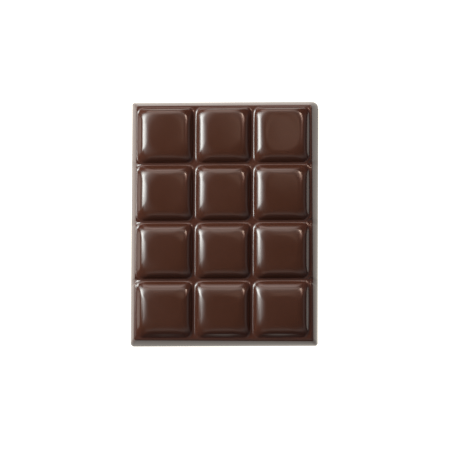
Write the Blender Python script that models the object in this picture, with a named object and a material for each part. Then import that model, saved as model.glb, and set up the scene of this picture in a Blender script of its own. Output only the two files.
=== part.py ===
"""A moulded bar of dark chocolate: three by four pillow-shaped squares on one slab.

Metres, +Z up. The bar lies on its flat back with the squares on top. The origin is at
the middle of the back, +X runs across the three columns and +Y along the four rows.
"""

import math

import bmesh
import bpy

# The grid of squares, from groove line to groove line
COLUMNS = 3
ROWS = 4
COLUMN_PITCH = 0.0240
ROW_PITCH = 0.0241

# Heights: the slab up to the grooves, and a square's crown above the grooves
SLAB_HEIGHT = 0.0062
SQUARE_RISE = 0.0029

# The outer wall leans in more and more towards its top, so that the bar leaves its mould, and
# rolls over onto a ledge that is next to nothing wide
WALL_FOOT_TILT = math.radians(78.0)
WALL_TOP_TILT = math.radians(62.0)
EDGE_RADIUS = 0.00060
LEDGE_WIDTH = 0.00008
LEDGE_CORNER_RADIUS = 0.0010
# The back's corners, anticlockwise from +X +Y; one of them is worn rounder than the rest
BACK_CORNER_RADII = (0.0030, 0.0010, 0.0016, 0.0012)

# One square, from the groove inwards: a flat strip, a tight fillet, a steep flank, a round
# shoulder that eases over a broader bend into a crown that is nearly flat
GROOVE_HALF_FLAT = 0.00008
GROOVE_FILLET_RADIUS = 0.0011
FLANK_TILT = math.radians(53.0)
SHOULDER_RADIUS = 0.0052
EASING_TILT = math.radians(15.0)
EASING_RADIUS = 0.0120
CROWN_EDGE_TILT = math.radians(1.5)

# Seen from above a square is a rounded square whose corners open up and whose sides bow out
# towards its crown
FOOT_CORNER_RADIUS = 0.0016
CROWN_CORNER_RADIUS = 0.0043
CROWN_BOW = 0.00075
BOW_SHARES = (-0.5, 0.0, 0.5)
CORNER_OPENING = 0.55

# How finely the round stretches are cut
FILLET_STEPS = 3
SHOULDER_STEPS = 4
EASING_STEPS = 2
CROWN_RINGS = 2
SQUARE_CORNER_STEPS = 4
WALL_STEPS = 4
EDGE_STEPS = 3
WALL_CORNER_STEPS = 6

CHOCOLATE_COLOUR = (0.058, 0.022, 0.013, 1.0)
CHOCOLATE_ROUGHNESS = 0.22
CREASE_ANGLE = math.radians(35.0)

# What follows from the sizes above
EDGE_RUN = EDGE_RADIUS * math.sin(WALL_TOP_TILT)
EDGE_DROP = EDGE_RADIUS * (1 - math.cos(WALL_TOP_TILT))
WALL_RADIUS = (SLAB_HEIGHT - EDGE_DROP) / (math.cos(WALL_TOP_TILT) - math.cos(WALL_FOOT_TILT))
WALL_RUN = WALL_RADIUS * (math.sin(WALL_FOOT_TILT) - math.sin(WALL_TOP_TILT))
BORDER_WIDTH = LEDGE_WIDTH + EDGE_RUN + WALL_RUN
HALF_WIDTH = COLUMNS * COLUMN_PITCH / 2 + BORDER_WIDTH
HALF_LENGTH = ROWS * ROW_PITCH / 2 + BORDER_WIDTH


def clear_scene():
    for thing in list(bpy.data.objects):
        bpy.data.objects.remove(thing, do_unlink=True)


def spread(first, last, steps):
    """The values from first to last in equal steps, both ends included."""
    return [first + (last - first) * step / steps for step in range(steps + 1)]


def mix(first, last, share):
    return first + (last - first) * share


def bowed_side(half_x, half_y, radius, height, turn, bow):
    """The points between two corners, on the side that faces that way."""
    out_x = math.cos(turn)
    out_y = math.sin(turn)
    reach = abs(half_x * out_x) + abs(half_y * out_y)
    half_side = abs(half_x * out_y) + abs(half_y * out_x) - radius
    points = []
    for share in BOW_SHARES:
        out = reach + bow * (1 - share**2)
        along = half_side * share
        points.append((out * out_x - along * out_y, out * out_y + along * out_x, height))
    return points


def rounded_rectangle(half_x, half_y, radii, height, corner_steps, bow=None):
    """Points of a level rounded rectangle, anticlockwise from the corner at +X +Y.

    With a bow, each side also gets points between that stand out, the middle one by that much.
    """
    points = []
    corners = ((1, 1, 0), (-1, 1, 90), (-1, -1, 180), (1, -1, 270))
    for radius, (side_x, side_y, start) in zip(radii, corners):
        centre_x = side_x * (half_x - radius)
        centre_y = side_y * (half_y - radius)
        if bow is not None:
            points += bowed_side(half_x, half_y, radius, height, math.radians(start), bow)
        for angle in spread(math.radians(start), math.radians(start + 90), corner_steps):
            x = centre_x + radius * math.cos(angle)
            y = centre_y + radius * math.sin(angle)
            points.append((x, y, height))
    return points


def square_profile():
    """(inset from the groove line, height above the groove) of each ring, groove to crown."""
    rings = []
    for tilt in spread(0, FLANK_TILT, FILLET_STEPS):
        inset = GROOVE_HALF_FLAT + GROOVE_FILLET_RADIUS * math.sin(tilt)
        rings.append((inset, GROOVE_FILLET_RADIUS * (1 - math.cos(tilt))))
    fillet_inset, fillet_rise = rings[-1]

    bends = (
        (SHOULDER_RADIUS, FLANK_TILT, EASING_TILT, SHOULDER_STEPS),
        (EASING_RADIUS, EASING_TILT, CROWN_EDGE_TILT, EASING_STEPS),
    )
    bend_run = sum(r * (math.sin(steep) - math.sin(level)) for r, steep, level, _ in bends)
    bend_rise = sum(r * (math.cos(level) - math.cos(steep)) for r, steep, level, _ in bends)
    # The crown is a shallow dome that rises by half its edge slope over its half width,
    # and the straight flank makes up the rest of the height
    slope = math.tan(FLANK_TILT)
    dome = math.tan(CROWN_EDGE_TILT) / 2
    half_pitch = COLUMN_PITCH / 2
    spare_rise = SQUARE_RISE - fillet_rise - bend_rise
    spare_half = half_pitch - fillet_inset - bend_run
    flank_run = (spare_rise - dome * spare_half) / (slope - dome)
    rings.append((fillet_inset + flank_run, fillet_rise + flank_run * slope))

    for radius, steep, level, steps in bends:
        start_inset, start_rise = rings[-1]
        for tilt in spread(steep, level, steps)[1:]:
            inset = start_inset + radius * (math.sin(steep) - math.sin(tilt))
            rings.append((inset, start_rise + radius * (math.cos(tilt) - math.cos(steep))))

    crown_half = half_pitch - rings[-1][0]
    for share in spread(1, 0, CROWN_RINGS)[1:-1]:
        rise = SQUARE_RISE - dome * crown_half * share**2
        rings.append((half_pitch - crown_half * share, rise))
    return rings


def add_ring(mesh, points):
    return [mesh.verts.new(point) for point in points]


def loft(mesh, lower, upper):
    """A band of four-sided faces from one ring up or in to the next."""
    count = len(lower)
    for index in range(count):
        after = (index + 1) % count
        mesh.faces.new((lower[index], lower[after], upper[after], upper[index]))


def add_square(mesh, centre_x, centre_y):
    """One pillow, from its foot in the groove to its crown. Returns the ring of its foot."""
    profile = square_profile()
    foot_inset = profile[0][0]
    crown_inset = profile[FILLET_STEPS + 1 + SHOULDER_STEPS + EASING_STEPS][0]
    crown_half = COLUMN_PITCH / 2 - crown_inset
    rings = []
    for inset, rise in profile:
        half_x = COLUMN_PITCH / 2 - inset
        half_y = ROW_PITCH / 2 - inset
        share = (inset - foot_inset) / (crown_inset - foot_inset)
        if share <= 1:
            radius = mix(FOOT_CORNER_RADIUS, CROWN_CORNER_RADIUS, share**CORNER_OPENING)
        else:
            radius = CROWN_CORNER_RADIUS * half_x / crown_half
        bow = CROWN_BOW * min(share, 1)
        outline = rounded_rectangle(
            half_x, half_y, [radius] * 4, SLAB_HEIGHT + rise, SQUARE_CORNER_STEPS, bow
        )
        rings.append(add_ring(mesh, [(centre_x + x, centre_y + y, z) for x, y, z in outline]))
    for lower, upper in zip(rings, rings[1:]):
        loft(mesh, lower, upper)
    peak = mesh.verts.new((centre_x, centre_y, SLAB_HEIGHT + SQUARE_RISE))
    crown = rings[-1]
    for index, corner in enumerate(crown):
        mesh.faces.new((corner, crown[(index + 1) % len(crown)], peak))
    return rings[0]


def add_wall(mesh):
    """The back, the leaning wall and its rolled edge. Returns the ring where the ledge starts."""
    levels = []
    for tilt in spread(WALL_FOOT_TILT, WALL_TOP_TILT, WALL_STEPS):
        inset = WALL_RADIUS * (math.sin(WALL_FOOT_TILT) - math.sin(tilt))
        levels.append((inset, WALL_RADIUS * (math.cos(tilt) - math.cos(WALL_FOOT_TILT))))
    for tilt in spread(WALL_TOP_TILT, 0, EDGE_STEPS)[1:]:
        inset = WALL_RUN + EDGE_RADIUS * (math.sin(WALL_TOP_TILT) - math.sin(tilt))
        levels.append((inset, SLAB_HEIGHT - EDGE_RADIUS * (1 - math.cos(tilt))))
    deepest = levels[-1][0]
    rings = []
    for inset, height in levels:
        radii = [mix(radius, LEDGE_CORNER_RADIUS, inset / deepest) for radius in BACK_CORNER_RADII]
        outline = rounded_rectangle(
            HALF_WIDTH - inset, HALF_LENGTH - inset, radii, height, WALL_CORNER_STEPS
        )
        rings.append(add_ring(mesh, outline))
    mesh.faces.new(list(reversed(rings[0])))
    for lower, upper in zip(rings, rings[1:]):
        loft(mesh, lower, upper)
    return rings[-1]


def ring_edges(mesh, ring):
    return [mesh.edges.get((a, b)) for a, b in zip(ring, ring[1:] + ring[:1])]


def build_mesh():
    """The closed surface of the bar: wall, squares and the level net of grooves between them."""
    mesh = bmesh.new()
    outline = ring_edges(mesh, add_wall(mesh))
    for column in range(COLUMNS):
        for row in range(ROWS):
            centre_x = (column - (COLUMNS - 1) / 2) * COLUMN_PITCH
            centre_y = (row - (ROWS - 1) / 2) * ROW_PITCH
            outline += ring_edges(mesh, add_square(mesh, centre_x, centre_y))
    bmesh.ops.triangle_fill(mesh, use_beauty=True, edges=outline, normal=(0, 0, 1))
    bmesh.ops.recalc_face_normals(mesh, faces=mesh.faces)
    data = bpy.data.meshes.new("chocolate_bar")
    mesh.to_mesh(data)
    mesh.free()
    return data


def chocolate_material():
    material = bpy.data.materials.new("dark_chocolate")
    material.use_nodes = True
    shader = material.node_tree.nodes["Principled BSDF"]
    shader.inputs["Base Color"].default_value = CHOCOLATE_COLOUR
    shader.inputs["Roughness"].default_value = CHOCOLATE_ROUGHNESS
    shader.inputs["Metallic"].default_value = 0.0
    return material


def build_bar():
    data = build_mesh()
    data.materials.append(chocolate_material())
    data.shade_smooth()
    data.set_sharp_from_angle(angle=CREASE_ANGLE)
    bar = bpy.data.objects.new("chocolate_bar", data)
    bpy.context.scene.collection.objects.link(bar)


clear_scene()
build_bar()
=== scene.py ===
"""A moulded bar of dark chocolate on a white table, seen from above.

Metres, +Z up: the bar lies on its flat back, three squares across X and four along Y.
"""

import math

import bpy
from mathutils import Matrix, Vector


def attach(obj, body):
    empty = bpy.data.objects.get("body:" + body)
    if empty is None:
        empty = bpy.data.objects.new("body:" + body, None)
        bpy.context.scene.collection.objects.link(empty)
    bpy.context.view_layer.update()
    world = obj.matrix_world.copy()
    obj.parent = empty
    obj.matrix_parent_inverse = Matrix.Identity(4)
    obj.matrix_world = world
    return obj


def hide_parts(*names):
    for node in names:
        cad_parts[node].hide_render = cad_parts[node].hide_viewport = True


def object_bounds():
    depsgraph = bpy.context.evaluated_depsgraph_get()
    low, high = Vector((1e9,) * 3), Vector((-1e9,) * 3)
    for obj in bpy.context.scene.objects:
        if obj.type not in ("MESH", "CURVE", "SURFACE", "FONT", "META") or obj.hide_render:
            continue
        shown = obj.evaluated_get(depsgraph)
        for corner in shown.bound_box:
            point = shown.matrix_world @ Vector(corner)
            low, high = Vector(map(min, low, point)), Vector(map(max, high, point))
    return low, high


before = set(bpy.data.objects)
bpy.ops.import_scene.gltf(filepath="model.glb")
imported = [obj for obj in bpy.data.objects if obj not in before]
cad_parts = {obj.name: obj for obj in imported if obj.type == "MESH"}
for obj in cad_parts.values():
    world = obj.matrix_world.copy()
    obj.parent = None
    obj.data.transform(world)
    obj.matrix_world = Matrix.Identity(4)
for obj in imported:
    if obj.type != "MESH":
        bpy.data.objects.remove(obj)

BAR_LOW, BAR_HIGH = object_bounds()

# The grid of squares and the heights, as the mould was cut
COLUMNS = 3
ROWS = 4
COLUMN_PITCH = 0.0240
ROW_PITCH = 0.0241
SQUARE_RISE = 0.0029
# What the highest crown may stand above the others
CROWN_ROOM = 0.00004
SLAB_HEIGHT = BAR_HIGH.z - CROWN_ROOM - SQUARE_RISE

# The outer wall, from the ledge that rings the squares down to the back
WALL_TOP_TILT = math.radians(63.0)
BOX_ROOM = 0.00004
BORDER_WIDTH = BAR_HIGH.x - COLUMNS * COLUMN_PITCH / 2 - BOX_ROOM
# Its rolled edge is crisp in the far left corner and worn broad in the near right one. The ledge
# takes up what a crisp edge leaves of the rim
EDGE_FAR_LEFT = 0.00014
EDGE_FAR_RIGHT = 0.00050
EDGE_NEAR_LEFT = 0.00090
EDGE_NEAR_RIGHT = 0.00165
RIM_WIDTH = 0.00044
LEAST_LEDGE = 0.00002
LEDGE_CORNER_RADIUS = 0.0010
BACK_CORNER_RADII = (0.0030, 0.0010, 0.0016, 0.0012)
BACK_EDGE_RADIUS = 0.00015
BACK_RIPPLE = 0.00006
RIPPLE_SCALE = 150
# The ripple comes in over this share of the way from the back's edge to its middle
RIPPLE_STARTS = 0.06
# About how many of its radii the back's edge takes off the leaning face's height
BACK_EDGE_DROP = 1.2

# One square, from its groove line inwards
GROOVE_HALF_FLAT = 0.00008
GROOVE_FILLET_RADIUS = 0.0011
FLANK_TILT = math.radians(53.0)
SHOULDER_RADIUS = 0.0052
EASING_TILT = math.radians(15.0)
EASING_RADIUS = 0.0120
CROWN_EDGE_TILT = math.radians(1.5)
FOOT_CORNER_RADIUS = 0.0016
CROWN_CORNER_RADIUS = 0.0043
CROWN_BOW = 0.00075
CORNER_OPENING = 0.55

# How much one square differs from the next
CROWN_LEAN = math.radians(0.5)
CROWN_UNEVEN = 0.00003
UNEVEN_SCALE = 160
# The square in the far right corner leans away and sits a little low
LEANING_SQUARE = COLUMNS * ROWS - 1
LEAN_AWAY = math.radians(2.0)
LEANING_SINK = 0.00025
# Most shoulders are tighter than the mould's and lie further out. The far ones move in from
# row to row, and the left ones from column to column
FAR_SHOULDERS_OUT = 0.00015
OTHER_SHOULDERS_OUT = 0.00055
SHOULDER_DRIFT_DOWN = 0.00165
SHOULDER_DRIFT_RIGHT = 0.00038
SHOULDER_UNEVEN = 0.00018
# Along the left border, and partly along the near one, a flank runs straight down to the rim.
# Further in than the ends it bends over as the mould's do
BORDER_FLANK_TILT = math.radians(37.4)
STRAIGHT_ENDS = (0.0030, 0.0020)
LEFT_STRAIGHT = 0.7
NEAR_STRAIGHT = 0.6
# Where a groove runs out over the left or the right rim, a small sloping spout is cut, widest
# at the rim
SPOUT_DROP = 0.00055
SPOUT_LENGTH = 0.0017
SPOUT_HALF_WIDTH = 0.0009
SPOUT_SIDE_SLOPE = 1.0
SEED = 7

# Steps of each stretch of a square, from the groove line to the middle of the crown
GROOVE_STEPS = 1
FILLET_STEPS = 7
FLANK_STEPS = 1
SHOULDER_STEPS = 11
EASING_STEPS = 5
CROWN_STEPS = 6
SIDE_STEPS = 7
CORNER_STEPS = 10
SQUARE_STEPS = GROOVE_STEPS + FILLET_STEPS + FLANK_STEPS + SHOULDER_STEPS + EASING_STEPS + CROWN_STEPS
TURN_STEPS = 2 * SIDE_STEPS + CORNER_STEPS

# Steps of the wall: the ledge, its rolled edge, the leaning face and the edge of the back
LEDGE_STEPS = 1
ROLL_STEPS = 6
FACE_STEPS = 7
BACK_EDGE_STEPS = 4
FOOT_STEP = LEDGE_STEPS + ROLL_STEPS + FACE_STEPS
WALL_STEPS = FOOT_STEP + BACK_EDGE_STEPS

WELD_DISTANCE = 0.00001
CREASE_ANGLE = math.radians(50.0)

# The photograph's frame and view
FRAME_PIXELS = 452
METRES_PER_PIXEL = 0.0004135
BAR_CENTRE_PIXELS = (224.6, 223.9)
VIEW_LEAN_RIGHT = math.radians(4.7)
VIEW_LEAN_DOWN = math.radians(7.5)
CAMERA_DISTANCE = 2.0
SENSOR_WIDTH = 36.0

# Finishes
DARK_PATCH = (0.0336, 0.0113, 0.0055, 1)
LIGHT_PATCH = (0.0366, 0.0126, 0.0066, 1)
# Painted light: the steep flanks' lighter, redder colour stands in for the light that they catch
PAINTED_FLANK_LIGHT = (0.0420, 0.0136, 0.0084, 1)
GRAIN_COLOUR = (0.0332, 0.0120, 0.0068, 1)
BACK_COLOUR = (0.0600, 0.0270, 0.0160, 1)
TABLE_COLOUR = (0.12, 0.12, 0.12, 1)
TABLE_GLOW = (1, 0.96, 0.88, 1)
TABLE_HALF_WIDTH = 3.0
TABLE_TOP = -0.00005
ROOM_COLOUR = (0.05, 0.065, 0.085, 1)
WHITE = (1, 1, 1, 1)


class Value:
    """What a node gives. Arithmetic on it adds the Math or Vector Math nodes that it takes."""

    def __init__(self, web, socket):
        self.web = web
        self.socket = socket

    def __add__(self, other):
        return self.web.reckon("ADD", self, other)

    def __radd__(self, other):
        return self.web.reckon("ADD", other, self)

    def __sub__(self, other):
        return self.web.reckon("SUBTRACT", self, other)

    def __rsub__(self, other):
        return self.web.reckon("SUBTRACT", other, self)

    def __mul__(self, other):
        return self.web.reckon("MULTIPLY", self, other)

    def __rmul__(self, other):
        return self.web.reckon("MULTIPLY", other, self)

    def __truediv__(self, other):
        return self.web.reckon("DIVIDE", self, other)

    def __neg__(self):
        return self.web.reckon("MULTIPLY", self, -1)

    def out(self, name):
        """Another output of the same node."""
        return Value(self.web, pick(self.socket.node.outputs, name))


def pick(sockets, key):
    """The socket with that number, identifier or name."""
    if isinstance(key, int):
        return sockets[key]
    for socket in sockets:
        if key == socket.identifier:
            return socket
    return next(socket for socket in sockets if key == socket.name and socket.enabled)


class Web:
    """Adds nodes to one tree, whether it makes a shape or a finish."""

    def __init__(self, tree):
        self.tree = tree

    def add(self, kind, settings=None, sockets=None, out=0):
        """A node with its settings made first, then its sockets' values and links."""
        node = self.tree.nodes.new(kind)
        for name, setting in (settings or {}).items():
            setattr(node, name, setting)
        for key, value in (sockets or {}).items():
            self.feed(pick(node.inputs, key), value)
        return Value(self, pick(node.outputs, out)) if node.outputs else node

    def feed(self, socket, value):
        if isinstance(value, (list, tuple)) and value and isinstance(value[0], Value):
            for each in value:
                self.tree.links.new(each.socket, socket)
        elif isinstance(value, Value):
            self.tree.links.new(value.socket, socket)
        elif socket.type == "VECTOR" and isinstance(value, (int, float)):
            socket.default_value = (value, value, value)
        else:
            socket.default_value = value

    def reckon(self, operation, *terms):
        vector = any(
            isinstance(term, tuple) or (isinstance(term, Value) and term.socket.type == "VECTOR")
            for term in terms
        )
        kind = "ShaderNodeVectorMath" if vector else "ShaderNodeMath"
        return self.add(kind, {"operation": operation}, dict(enumerate(terms)))

    def sine(self, angle):
        return self.reckon("SINE", angle)

    def cosine(self, angle):
        return self.reckon("COSINE", angle)

    def join(self, x, y, z):
        return self.add("ShaderNodeCombineXYZ", sockets={"X": x, "Y": y, "Z": z})

    def parts(self, vector):
        """The X, Y and Z of a vector."""
        split = self.add("ShaderNodeSeparateXYZ", sockets={"Vector": vector})
        return split, split.out("Y"), split.out("Z")

    def share(self, value, start, end):
        """How far value is from start to end, held between 0 and 1."""
        return self.add("ShaderNodeMapRange", sockets={"Value": value, 1: start, 2: end})

    def blend(self, first, last, share):
        return first + (last - first) * share

    def mix_colours(self, first, last, share):
        return self.add(
            "ShaderNodeMix",
            {"data_type": "RGBA"},
            {"Factor_Float": share, "A_Color": first, "B_Color": last},
            out="Result_Color",
        )


def lower(value, other):
    return value.web.reckon("MINIMUM", value, other)


def higher(value, other):
    return value.web.reckon("MAXIMUM", value, other)


def size_of(value):
    """The value without its sign."""
    return value.web.reckon("ABSOLUTE", value)


def stage_shares(web, step, counts):
    """For stretches of so many steps each, one after another: how far each one has run."""
    shares = []
    start = 0
    for count in counts:
        shares.append(web.share(step, start, start + count))
        start += count
    return shares


def bar_sizes():
    """The driving sizes of the bar's tree, by name."""
    return {
        "column pitch": COLUMN_PITCH,
        "row pitch": ROW_PITCH,
        "slab height": SLAB_HEIGHT,
        "square rise": SQUARE_RISE,
        "groove half flat": GROOVE_HALF_FLAT,
        "groove fillet radius": GROOVE_FILLET_RADIUS,
        "flank tilt": FLANK_TILT,
        "shoulder radius": SHOULDER_RADIUS,
        "easing tilt": EASING_TILT,
        "easing radius": EASING_RADIUS,
        "crown edge tilt": CROWN_EDGE_TILT,
        "foot corner radius": FOOT_CORNER_RADIUS,
        "crown corner radius": CROWN_CORNER_RADIUS,
        "crown bow": CROWN_BOW,
        "crown lean": CROWN_LEAN,
        "crown uneven": CROWN_UNEVEN,
        "lean away": LEAN_AWAY,
        "leaning sink": LEANING_SINK,
        "corner opening": CORNER_OPENING,
        "far shoulders out": FAR_SHOULDERS_OUT,
        "other shoulders out": OTHER_SHOULDERS_OUT,
        "shoulder drift down": SHOULDER_DRIFT_DOWN,
        "shoulder drift right": SHOULDER_DRIFT_RIGHT,
        "shoulder uneven": SHOULDER_UNEVEN,
        "border flank tilt": BORDER_FLANK_TILT,
        "left straight": LEFT_STRAIGHT,
        "near straight": NEAR_STRAIGHT,
        "spout drop": SPOUT_DROP,
        "spout length": SPOUT_LENGTH,
        "spout half width": SPOUT_HALF_WIDTH,
        "spout side slope": SPOUT_SIDE_SLOPE,
        "wall top tilt": WALL_TOP_TILT,
        "border width": BORDER_WIDTH,
        "edge far left": EDGE_FAR_LEFT,
        "edge far right": EDGE_FAR_RIGHT,
        "edge near left": EDGE_NEAR_LEFT,
        "edge near right": EDGE_NEAR_RIGHT,
        "rim width": RIM_WIDTH,
        "ledge corner radius": LEDGE_CORNER_RADIUS,
        "back corner right top": BACK_CORNER_RADII[0],
        "back corner left top": BACK_CORNER_RADII[1],
        "back corner left bottom": BACK_CORNER_RADII[2],
        "back corner right bottom": BACK_CORNER_RADII[3],
        "back edge radius": BACK_EDGE_RADIUS,
        "back ripple": BACK_RIPPLE,
    }


def remember(web, geometry, name, value, kind="FLOAT"):
    """Keeps a value on every point, under a name that later steps and the finish read."""
    settings = {"data_type": kind, "domain": "POINT"}
    return web.add(
        "GeometryNodeStoreNamedAttribute",
        settings,
        {"Geometry": geometry, "Name": name, "Value": value},
    )


def recall(web, name, kind="FLOAT"):
    return web.add("GeometryNodeInputNamedAttribute", {"data_type": kind}, {"Name": name})


def bend(web, radius, start, end, share):
    """How far in and up a round stretch has led, turning from its start tilt towards its end."""
    tilt = web.blend(start, end, share)
    return radius * (web.sine(start) - web.sine(tilt)), radius * (web.cosine(tilt) - web.cosine(start))


def square_heights(web, size, step):
    """Inset from the groove line and height above the groove, at each step of a square."""
    counts = (
        GROOVE_STEPS, FILLET_STEPS, FLANK_STEPS, SHOULDER_STEPS, EASING_STEPS, CROWN_STEPS
    )
    groove, fillet, flank, shoulder, easing, crown = stage_shares(web, step, counts)
    steep = size["flank tilt"]
    middle = size["easing tilt"]
    level = size["crown edge tilt"]
    slope = web.reckon("TANGENT", steep)
    dome = web.reckon("TANGENT", level) * 0.5
    half = size["column pitch"] * 0.5

    def round_stretches(fillet, shoulder, easing):
        foot = bend(web, -size["groove fillet radius"], 0, steep, fillet)
        lower_bend = bend(web, size["shoulder radius"], steep, middle, shoulder)
        upper_bend = bend(web, size["easing radius"], middle, level, easing)
        return [sum(each[1:], each[0]) for each in zip(foot, lower_bend, upper_bend)]

    # The straight flank and the crown make up what the round stretches leave over
    whole_run, whole_rise = round_stretches(1, 1, 1)
    spare_half = half - size["groove half flat"] - whole_run
    spare_rise = size["square rise"] - whole_rise
    flank_run = (spare_rise - dome * spare_half) / (slope - dome)
    crown_half = spare_half - flank_run

    run, climbed = round_stretches(fillet, shoulder, easing)
    inset = size["groove half flat"] * groove + run + flank_run * flank + crown_half * crown
    domed = dome * crown_half * (1 - (1 - crown) * (1 - crown))
    rise = climbed + flank_run * slope * flank + domed
    climb = web.share(inset, size["groove half flat"], half - crown_half)
    return inset, rise, groove, climb, crown


def quarter_square(web, size):
    """The quarter of a square towards +X +Y, as a net laid flat that knows its own heights."""
    net = web.add(
        "GeometryNodeMeshGrid",
        sockets={
            "Size X": SQUARE_STEPS,
            "Size Y": TURN_STEPS,
            "Vertices X": SQUARE_STEPS + 1,
            "Vertices Y": TURN_STEPS + 1,
        },
    )
    along_x, along_y, _ = web.parts(web.add("GeometryNodeInputPosition"))
    inset, rise, groove, climb, crown = square_heights(web, size, along_x + SQUARE_STEPS / 2)
    near, corner, far = stage_shares(
        web, along_y + TURN_STEPS / 2, (SIDE_STEPS, CORNER_STEPS, SIDE_STEPS)
    )

    # Round the corner by an arc, except on the groove line, where the net fills the corner out
    half_square = size["column pitch"] * 0.5
    half_x = half_square - inset
    half_y = size["row pitch"] * 0.5 - inset
    opened = web.reckon("POWER", climb, size["corner opening"])
    radius = web.blend(size["foot corner radius"], size["crown corner radius"], opened)
    radius = radius * (1 - crown)
    angle = corner * (math.pi / 2)
    reach = web.blend(higher(web.cosine(angle), web.sine(angle)), 1, groove)
    x = (half_x - radius) * (1 - far) + radius * web.cosine(angle) / reach
    y = (half_y - radius) * near + radius * web.sine(angle) / reach

    bow = size["crown bow"] * climb * (1 - crown)
    share_x = x / higher(half_x, WELD_DISTANCE)
    share_y = y / higher(half_y, WELD_DISTANCE)
    flat = web.join(
        x + bow * (1 - share_y * share_y) * share_x,
        y + bow * (1 - share_x * share_x) * share_y,
        0,
    )
    # How much further out a straight flank would stand, to be used along the border only
    straight = size["groove half flat"] + rise / web.reckon("TANGENT", size["border flank tilt"])
    slack = higher(inset - straight, 0) * web.share(inset, *STRAIGHT_ENDS)
    # A swell that is nought in the groove and mid-crown and 1 halfway
    outness = 1 - inset / half_square
    halfway = outness * (1 - outness) * 4
    swell = halfway * halfway
    facing = web.join(web.cosine(angle), web.sine(angle), 0)
    net = remember(web, net, "rise", rise)
    net = remember(web, net, "climb", climb)
    net = remember(web, net, "slack", facing * slack, "FLOAT_VECTOR")
    net = remember(web, net, "swell", facing * swell, "FLOAT_VECTOR")
    return web.add("GeometryNodeSetPosition", sockets={"Geometry": net, "Position": flat})


def mirrored(web, geometry, scale):
    """The geometry beside its mirror image, with the image's faces turned back outwards."""
    image = web.add("GeometryNodeTransform", sockets={"Geometry": geometry, "Scale": scale})
    image = web.add("GeometryNodeFlipFaces", sockets={"Mesh": image})
    return web.add("GeometryNodeJoinGeometry", sockets={"Geometry": [image, geometry]})


def weld(web, geometry):
    return web.add(
        "GeometryNodeMergeByDistance", sockets={"Geometry": geometry, "Distance": WELD_DISTANCE}
    )


def sheet_of_squares(web, size):
    """All the squares side by side, still flat, welded along the groove lines."""
    square = mirrored(web, quarter_square(web, size), (-1, 1, 1))
    square = weld(web, mirrored(web, square, (1, -1, 1)))
    place = web.add("GeometryNodeInputPosition")
    square = remember(web, square, "place", place, "FLOAT_VECTOR")
    centres = web.add(
        "GeometryNodeMeshGrid",
        sockets={
            "Size X": size["column pitch"] * (COLUMNS - 1),
            "Size Y": size["row pitch"] * (ROWS - 1),
            "Vertices X": COLUMNS,
            "Vertices Y": ROWS,
        },
    )
    centres = remember(web, centres, "square", web.add("GeometryNodeInputIndex"))
    squares = web.add(
        "GeometryNodeInstanceOnPoints", sockets={"Points": centres, "Instance": square}
    )
    return weld(web, web.add("GeometryNodeRealizeInstances", sockets={"Geometry": squares}))


def rounded_place(web, place, half, radii):
    """Moves a point of a rectangle with sharp corners to the like point of a rounded one."""
    x, y, _ = web.parts(place)
    right = web.reckon("GREATER_THAN", x, 0)
    top = web.reckon("GREATER_THAN", y, 0)
    right_top, left_top, left_bottom, right_bottom = radii
    upper = web.blend(left_top, right_top, right)
    under = web.blend(left_bottom, right_bottom, right)
    radius = web.blend(under, upper, top)
    inner = half - radius
    held = lower(higher(place, -inner), inner)
    beyond_x, beyond_y, _ = web.parts(place - held)
    length = web.reckon("SQRT", beyond_x * beyond_x + beyond_y * beyond_y)
    most = higher(size_of(beyond_x), size_of(beyond_y))
    shrink = most / higher(length, WELD_DISTANCE)
    return held, web.join(beyond_x * shrink, beyond_y * shrink, 0)


def wall_levels(web, size, step, edge):
    """How far out from the groove line and how high each step of the wall is."""
    counts = (LEDGE_STEPS, ROLL_STEPS, FACE_STEPS, BACK_EDGE_STEPS)
    ledge, roll, face, turn = stage_shares(web, step, counts)
    top = size["wall top tilt"]
    small = size["back edge radius"]
    roll_width = edge * web.sine(top)
    ledge_width = higher(size["rim width"] - roll_width, LEAST_LEDGE)
    # The face ends at the foot tilt that makes its arc span what is left of the border's width
    whole = size["slab height"] - edge * (1 - web.cosine(top))
    face_width = size["border width"] - ledge_width - roll_width
    foot = web.reckon("ARCTANGENT", (whole - small * BACK_EDGE_DROP) / face_width) * 2 - top
    drop = whole - small * (1 + web.cosine(foot))
    broad = drop / (web.cosine(top) - web.cosine(foot))
    # Three bends that turn the surface ever further over, each starting where the last one ends
    roll_run, roll_fall = bend(web, -edge, 0, top, roll)
    face_run, face_fall = bend(web, -broad, top, foot, face)
    turn_run, turn_fall = bend(web, -small, foot, math.pi, turn)
    out = ledge_width * ledge + roll_run + face_run + turn_run
    return out, size["slab height"] - roll_fall - face_fall - turn_fall


def wall_place(web, size, rim, step):
    """Where a point of the grid's outline goes at that step of the wall."""
    rim_x, rim_y, _ = web.parts(rim)
    half_width = size["column pitch"] * (COLUMNS / 2)
    half_length = size["row pitch"] * (ROWS / 2)
    rightward = web.share(rim_x, -half_width, half_width)
    nearward = web.share(rim_y, half_length, -half_length)
    left = web.blend(size["edge far left"], size["edge near left"], nearward)
    right = web.blend(size["edge far right"], size["edge near right"], nearward)
    edge = web.blend(left, right, rightward)
    out, height = wall_levels(web, size, step, edge)
    widest, _ = wall_levels(web, size, FOOT_STEP, edge)
    flare = out / widest
    radii = [
        web.blend(size["ledge corner radius"], size[f"back corner {corner}"], flare)
        for corner in ("right top", "left top", "left bottom", "right bottom")
    ]
    grid_half = web.join(half_width, half_length, 1)
    half = grid_half + web.join(out, out, 0)
    held, beyond = rounded_place(web, rim * half / grid_half, half, radii)
    x, y, _ = web.parts(held + beyond)
    spout = lower(spout_level(web, size, rim), 0)
    return web.join(x, y, height * (1 + spout / size["slab height"]))


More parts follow.
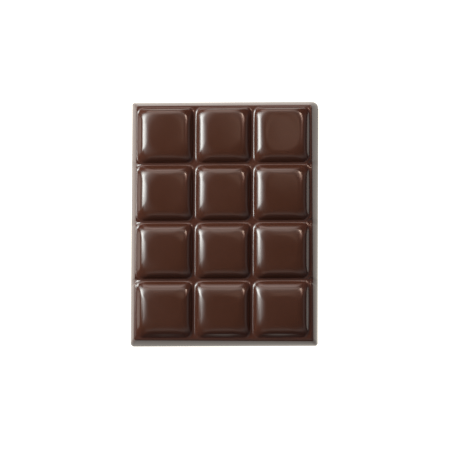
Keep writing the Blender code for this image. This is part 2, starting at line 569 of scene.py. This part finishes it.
def add_wall(web, size, sheet):
    """Draws the sheet's outline out and down, step by step, as far as the back."""
    rim_edge = web.reckon("COMPARE", web.add("GeometryNodeInputMeshEdgeNeighbors"), 1, 0.5)
    rim = recall(web, "rim", "FLOAT_VECTOR")
    sheet = web.add(
        "GeometryNodeSetPosition",
        sockets={
            "Geometry": sheet,
            "Selection": rim_edge,
            "Position": wall_place(web, size, rim, 0),
        },
    )
    repeat_in = web.tree.nodes.new("GeometryNodeRepeatInput")
    repeat_out = web.tree.nodes.new("GeometryNodeRepeatOutput")
    repeat_in.pair_with_output(repeat_out)
    web.feed(pick(repeat_in.inputs, "Iterations"), WALL_STEPS)
    web.feed(pick(repeat_in.inputs, "Geometry"), sheet)
    step = Value(web, pick(repeat_in.outputs, "Iteration")) + 1
    drawn = web.add(
        "GeometryNodeExtrudeMesh",
        {"mode": "EDGES"},
        {
            "Mesh": Value(web, pick(repeat_in.outputs, "Geometry")),
            "Selection": rim_edge,
            "Offset Scale": 0,
        },
    )
    moved = web.add(
        "GeometryNodeSetPosition",
        sockets={
            "Geometry": drawn,
            "Selection": drawn.out("Top"),
            "Position": wall_place(web, size, rim, step),
        },
    )
    web.feed(pick(repeat_out.inputs, "Geometry"), moved)
    return Value(web, pick(repeat_out.outputs, "Geometry"))


def chance(web, low, high, which, seed):
    """A random number for each square, always the same one."""
    return web.add(
        "FunctionNodeRandomValue",
        {"data_type": "FLOAT"},
        {"Min_001": low, "Max_001": high, "ID": which, "Seed": seed},
        out="Value_001",
    )


def shoulder_shift(web, size, which, x, y):
    """How far each square's four shoulders lie further in than the mould's."""
    uneven = size["shoulder uneven"]
    column = web.reckon("FLOOR", which / ROWS + 0.01)
    row = which - column * ROWS
    right_most = (COLUMNS - 1) / 2
    top_most = (ROWS - 1) / 2
    left = (column - right_most) / right_most * size["shoulder drift right"]
    far = (top_most - row) / top_most * size["shoulder drift down"]
    left = left + chance(web, -uneven, uneven, which, SEED + 2)
    right = chance(web, -uneven, uneven, which, SEED + 3) - size["other shoulders out"]
    far = far + chance(web, -uneven, uneven, which, SEED + 4) - size["far shoulders out"]
    near = chance(web, -uneven, uneven, which, SEED + 5) - size["other shoulders out"]

    def inward(place, swell, low_side, high_side):
        high = web.reckon("GREATER_THAN", place, 0)
        return swell * web.blend(low_side, -high_side, high)

    swell_x, swell_y, _ = web.parts(recall(web, "swell", "FLOAT_VECTOR"))
    across = inward(x, swell_x, left, right)
    along = inward(y, swell_y, near, far)
    slack_x, slack_y, _ = web.parts(recall(web, "slack", "FLOAT_VECTOR"))
    on_left = web.reckon("COMPARE", column, 0, 0.5) * web.reckon("LESS_THAN", x, 0)
    on_near = web.reckon("COMPARE", row, 0, 0.5) * web.reckon("LESS_THAN", y, 0)
    across = across - slack_x * on_left * size["left straight"]
    along = along - slack_y * on_near * size["near straight"]
    return across, along


def spout_level(web, size, rim):
    """How high above the slab the cut stands that opens a groove's end over the rim."""
    rim_x, rim_y, _ = web.parts(rim)
    from_rim = size["column pitch"] * (COLUMNS / 2) - size_of(rim_x)
    rows_up = rim_y / size["row pitch"] + ROWS / 2
    from_groove = size_of(rows_up - web.reckon("ROUND", rows_up)) * size["row pitch"]
    reach_in = from_rim / size["spout length"]
    beside = higher(from_groove - size["spout half width"] * (1 - reach_in), 0)
    # No groove runs along the far and the near border
    outer = web.reckon("GREATER_THAN", size_of(rim_y), size["row pitch"] * (ROWS / 2 - 0.5))
    floor = size["spout drop"] * (reach_in - 1)
    return floor + beside * size["spout side slope"] + outer * size["square rise"] * 2


def raised(web, size, sheet):
    """The sheet lifted into slab and squares, each crown a little different from the next."""
    which = recall(web, "square")
    x, y, _ = web.parts(recall(web, "place", "FLOAT_VECTOR"))
    across, along = shoulder_shift(web, size, which, x, y)
    climb = recall(web, "climb")
    lean = size["crown lean"]
    lean_x = chance(web, -lean, lean, which, SEED)
    lean_y = chance(web, -lean, lean, which, SEED + 1)
    uneven = web.add(
        "ShaderNodeTexNoise",
        {"noise_dimensions": "3D"},
        {"Vector": web.add("GeometryNodeInputPosition"), "Scale": UNEVEN_SCALE, "Detail": 1},
    )
    leaning = web.reckon("COMPARE", which, LEANING_SQUARE, 0.5)
    lean_y = lean_y - leaning * size["lean away"]
    lift = climb * climb * (x * lean_x + y * lean_y - leaning * size["leaning sink"])
    lift = lift + (uneven - 0.5) * size["crown uneven"] * climb
    spout = spout_level(web, size, recall(web, "rim", "FLOAT_VECTOR"))
    height = size["slab height"] + lower(recall(web, "rise") + lift, spout)
    offset = web.join(across, along, height)
    return web.add("GeometryNodeSetPosition", sockets={"Geometry": sheet, "Offset": offset})


def add_back(web, size, sheet):
    """The same sheet spread flat under the bar, turned over and faintly rippled."""
    rim = recall(web, "rim", "FLOAT_VECTOR")
    place = wall_place(web, size, rim, WALL_STEPS)
    x, y, z = web.parts(place)
    rim_x, rim_y, _ = web.parts(rim)
    inward_x = 1 - size_of(rim_x) / (size["column pitch"] * (COLUMNS / 2))
    inward_y = 1 - size_of(rim_y) / (size["row pitch"] * (ROWS / 2))
    ripple = web.add(
        "ShaderNodeTexNoise",
        {"noise_dimensions": "3D"},
        {"Vector": place * (1, 0.25, 1), "Scale": RIPPLE_SCALE, "Detail": 2},
    )
    settled = web.share(lower(inward_x, inward_y), 0, RIPPLE_STARTS)
    lifted = web.join(x, y, z + settled * web.share(ripple, 0.4, 0.8) * size["back ripple"])
    back = web.add("GeometryNodeSetPosition", sockets={"Geometry": sheet, "Position": lifted})
    return web.add("GeometryNodeFlipFaces", sockets={"Mesh": remember(web, back, "under", 1)})


def bar_tree():
    """The tree that makes the whole bar. Gives the tree and its inputs by name."""
    tree = bpy.data.node_groups.new("moulded bar", "GeometryNodeTree")
    web = Web(tree)
    inputs = {}
    for name in bar_sizes():
        inputs[name] = tree.interface.new_socket(
            name, in_out="INPUT", socket_type="NodeSocketFloat"
        )
    inputs["finish"] = tree.interface.new_socket(
        "finish", in_out="INPUT", socket_type="NodeSocketMaterial"
    )
    tree.interface.new_socket("Geometry", in_out="OUTPUT", socket_type="NodeSocketGeometry")
    given = tree.nodes.new("NodeGroupInput")
    size = {name: Value(web, given.outputs[name]) for name in inputs}

    sheet = sheet_of_squares(web, size)
    sheet = remember(web, sheet, "rim", web.add("GeometryNodeInputPosition"), "FLOAT_VECTOR")
    sheet = remember(web, sheet, "under", 0)
    top = add_wall(web, size, raised(web, size, sheet))
    back = add_back(web, size, sheet)
    whole = web.add("GeometryNodeJoinGeometry", sockets={"Geometry": [back, top]})
    whole = web.add("GeometryNodeRealizeInstances", sockets={"Geometry": weld(web, whole)})
    whole = web.add(
        "GeometryNodeSetMaterial", sockets={"Geometry": whole, "Material": size["finish"]}
    )
    result = tree.nodes.new("NodeGroupOutput")
    web.feed(result.inputs["Geometry"], whole)
    return tree, inputs


def make_bar(finish):
    """Runs the bar's tree once and keeps what it makes as a plain mesh."""
    tree, inputs = bar_tree()
    blank = bpy.data.objects.new("bar_blank", bpy.data.meshes.new("bar_blank"))
    bpy.context.scene.collection.objects.link(blank)
    mould = blank.modifiers.new("mould", "NODES")
    mould.node_group = tree
    for name, value in bar_sizes().items():
        mould[inputs[name].identifier] = value
    mould[inputs["finish"].identifier] = finish
    bpy.context.view_layer.update()
    evaluated = blank.evaluated_get(bpy.context.evaluated_depsgraph_get())
    mesh = bpy.data.meshes.new_from_object(evaluated)
    bpy.data.objects.remove(blank)
    mesh.name = "moulded_bar"
    mesh.shade_smooth()
    mesh.set_sharp_from_angle(angle=CREASE_ANGLE)
    bar = bpy.data.objects.new("moulded_bar", mesh)
    bpy.context.scene.collection.objects.link(bar)
    return bar


def new_material(name):
    material = bpy.data.materials.new(name)
    material.use_nodes = True
    shader = material.node_tree.nodes["Principled BSDF"]
    return material, Web(material.node_tree), shader


def chocolate_finish():
    """Glossy dark chocolate, matt and scraped on the back."""
    material, web, shader = new_material("dark_chocolate")
    place = web.add("ShaderNodeTexCoord", out="Object")
    under = web.add("ShaderNodeAttribute", {"attribute_name": "under"}, out="Fac")
    climb = web.add("ShaderNodeAttribute", {"attribute_name": "climb"}, out="Fac")

    def clouds(scale, detail, seed=0.0):
        return web.add(
            "ShaderNodeTexNoise",
            {"noise_dimensions": "4D"},
            {"Vector": place, "W": seed, "Scale": scale, "Detail": detail},
        )

    # Cocoa butter sets in faint patches; the steep flanks are painted lighter and redder, as painted
    # light
    patches = web.share(clouds(70, 2), 0.35, 0.65)
    grain = web.share(clouds(1500, 2, 3.0), 0.3, 0.7)
    flank = web.share(climb, 0.55, 0.15) * (1 - under)
    colour = web.mix_colours(DARK_PATCH, LIGHT_PATCH, patches)
    colour = web.mix_colours(colour, PAINTED_FLANK_LIGHT, flank * 0.6)
    colour = web.mix_colours(colour, GRAIN_COLOUR, grain * 0.35)
    colour = web.mix_colours(colour, BACK_COLOUR, under * 0.6)
    web.feed(shader.inputs["Base Color"], colour)

    scrape = web.share(
        web.add(
            "ShaderNodeTexNoise",
            {"noise_dimensions": "3D"},
            {"Vector": place * (1, 0.08, 1), "Scale": 700, "Detail": 3},
        ),
        0.35,
        0.7,
    )
    gloss = 0.12 + 0.05 * patches
    web.feed(shader.inputs["Roughness"], web.blend(gloss, 0.36 + 0.14 * scrape, under))
    web.feed(shader.inputs["IOR"], 1.5)

    # Pinholes where air was caught, a faint wave all over, and fine scrapes on the back
    bubble = web.add(
        "ShaderNodeTexVoronoi", {"feature": "F1"}, {"Vector": place, "Scale": 240, "Randomness": 1}
    )
    rare = web.share(clouds(300, 0, 5.0), 0.66, 0.70)
    pit = web.share(bubble, 0.09, 0.03) * rare
    height = clouds(260, 2, 8.0) * 0.000004 - pit * 0.00004
    height = height + under * (scrape * 0.00003 + clouds(900, 2, 11.0) * 0.00002)
    normal = web.add(
        "ShaderNodeBump", sockets={"Strength": 1.0, "Distance": 1.0, "Height": height}
    )
    web.feed(shader.inputs["Normal"], normal)
    return material


def add_light(name, centre, facing, width, length, radiance, colour=(1, 1, 1), fade=None):
    """A soft rectangular light facing that point, its length along the table's Y.

    It shines in full in its middle and fades out over that share of its width on the lower
    side, of its width on the upper side, and of its length at either end.
    """
    data = bpy.data.lights.new(name, "AREA")
    data.shape = "RECTANGLE"
    data.size = width
    data.size_y = length
    data.color = colour
    data.energy = radiance * math.pi * width * length
    light = bpy.data.objects.new(name, data)
    back = (Vector(centre) - Vector(facing)).normalized()
    along = (Vector((0, 1, 0)) - back * back.y).normalized()
    turn = Matrix((along.cross(back), along, back)).transposed().to_4x4()
    light.matrix_world = Matrix.Translation(centre) @ turn
    light.visible_camera = False
    bpy.context.scene.collection.objects.link(light)
    if fade:
        fade_light(data, fade)
    return light


def fade_light(data, fade):
    data.use_nodes = True
    web = Web(data.node_tree)
    across, along, _ = web.parts(web.add("ShaderNodeNewGeometry", out="Parametric"))
    start, end, low, high = fade
    strength = web.share(across, 0, start) * web.share(across, 1, 1 - end)
    strength = strength * web.share(along, 0, low) * web.share(along, 1, 1 - high)
    emission = data.node_tree.nodes["Emission"]
    web.feed(emission.inputs["Strength"], strength * strength)


def add_table():
    """A white table top that glows, so that it stays plain white round the bar."""
    material, web, shader = new_material("white_table")
    web.feed(shader.inputs["Base Color"], TABLE_COLOUR)
    web.feed(shader.inputs["Roughness"], 0.9)
    web.feed(shader.inputs["Emission Color"], TABLE_GLOW)
    web.feed(shader.inputs["Emission Strength"], 1.3)
    mesh = bpy.data.meshes.new("table")
    sides = ((-1, -1), (1, -1), (1, 1), (-1, 1))
    corners = [(x * TABLE_HALF_WIDTH, y * TABLE_HALF_WIDTH, TABLE_TOP) for x, y in sides]
    mesh.from_pydata(corners, [], [(0, 1, 2, 3)])
    mesh.materials.append(material)
    table = bpy.data.objects.new("table", mesh)
    bpy.context.scene.collection.objects.link(table)


def add_surroundings():
    """A dim room round the table, which shows as plain white behind it."""
    world = bpy.data.worlds.new("studio")
    world.use_nodes = True
    bpy.context.scene.world = world
    web = Web(world.node_tree)
    seen = web.add("ShaderNodeLightPath", out="Is Camera Ray")
    colour = web.mix_colours(ROOM_COLOUR, WHITE, seen)
    web.feed(world.node_tree.nodes["Background"].inputs["Color"], colour)


def add_lights():
    """The studio round the bar. Each light is named for what it draws on the glossy squares."""
    # The white streaks down the left shoulders, and their soft inner edge
    add_light(
        "key", centre=(-0.43, 0.265, 0.36), facing=(0, 0.265, 0), width=0.60, length=0.50,
        radiance=22, colour=(0.95, 1, 0.97), fade=(0.38, 0.45, 0.12, 0.5),
    )
    add_light(
        "key_glow", centre=(-0.227, 0.16, 0.446), facing=(0, 0.12, 0), width=0.36, length=0.60,
        radiance=4.5, fade=(0.15, 0.8, 0.3, 0.3),
    )
    # The grey bands along the far shoulders, and their soft inner edge
    add_light(
        "far", centre=(-0.12, 0.46, 0.32), facing=(-0.12, 0, 0), width=0.60, length=0.66,
        radiance=4.2, colour=(1, 0.84, 0.78), fade=(0.2, 0.3, 0.5, 0.5),
    )
    add_light(
        "far_glow", centre=(-0.06, 0.24, 0.42), facing=(-0.06, 0.24, 0), width=0.50, length=0.34,
        radiance=2.0, colour=(1, 0.86, 0.78), fade=(0.2, 0.2, 0.7, 0.2),
    )
    # The paler crown of the square that leans away
    add_light(
        "sheen", centre=(0.005, 0.12, 0.40), facing=(0.005, 0.12, 0), width=0.13, length=0.10,
        radiance=0.8, colour=(1, 0.66, 0.5), fade=(0.4, 0.2, 0.15, 0.2),
    )
    # The short warm streaks in the far right corners
    add_light(
        "lamp", centre=(0.13, 0.165, 0.35), facing=(0.03, 0.03, 0), width=0.06, length=0.15,
        radiance=26, colour=(1, 0.76, 0.62), fade=(0.3, 0.3, 0.9, 0.1),
    )
    add_light(
        "fill", centre=(0.19, 0.17, 0.42), facing=(0, 0.05, 0), width=0.24, length=0.25,
        radiance=1.8, colour=(1, 0.5, 0.4), fade=(0.3, 0.5, 0.4, 0.3),
    )
    # The rest of the room, faint on the near and the right flanks
    add_light(
        "room_near", centre=(0.05, -0.27, 0.42), facing=(0, 0, 0), width=0.90, length=0.50,
        radiance=0.6, colour=(1, 0.90, 0.85), fade=(0.2, 0.2, 0.5, 0.5),
    )
    add_light(
        "room_right", centre=(0.46, 0, 0.32), facing=(0, 0, 0), width=0.42, length=0.90,
        radiance=0.35, colour=(1, 0.92, 0.88), fade=(0.3, 0.3, 0.2, 0.2),
    )
    # Daylight from further off, too soft to be seen as a streak
    soft = add_light(
        "soft", centre=(-1.8, 1.7, 1.7), facing=(0, 0, 0), width=1.0, length=1.0, radiance=20
    )
    soft.visible_glossy = False


def add_camera():
    """A long lens above the bar, leaning a little to its right and its lower end."""
    data = bpy.data.cameras.new("camera")
    data.sensor_width = SENSOR_WIDTH
    data.lens = SENSOR_WIDTH * CAMERA_DISTANCE / (FRAME_PIXELS * METRES_PER_PIXEL)
    data.clip_end = 20
    camera = bpy.data.objects.new("camera", data)
    back = Vector((math.tan(VIEW_LEAN_RIGHT), -math.tan(VIEW_LEAN_DOWN), 1)).normalized()
    across = Vector((1, 0, 0)) - back * back.x
    along = Vector((0, 1, 0)) - back * back.y
    # The view's upright is set halfway between what the bar's two edges ask for
    upright = (along.normalized() + back.cross(across.normalized())).normalized()
    right = upright.cross(back)
    off_centre = [FRAME_PIXELS / 2 - pixel for pixel in BAR_CENTRE_PIXELS]
    aim = right * (off_centre[0] * METRES_PER_PIXEL) - upright * (off_centre[1] * METRES_PER_PIXEL)
    camera.matrix_world = Matrix.Translation(aim + back * CAMERA_DISTANCE) @ Matrix(
        (right, upright, back)
    ).transposed().to_4x4()
    bpy.context.scene.collection.objects.link(camera)
    bpy.context.scene.camera = camera


add_camera()
add_lights()
add_surroundings()
add_table()
bpy.context.scene.view_settings.view_transform = "Standard"

bar = make_bar(chocolate_finish())
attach(bar, "root")
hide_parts("chocolate_bar")
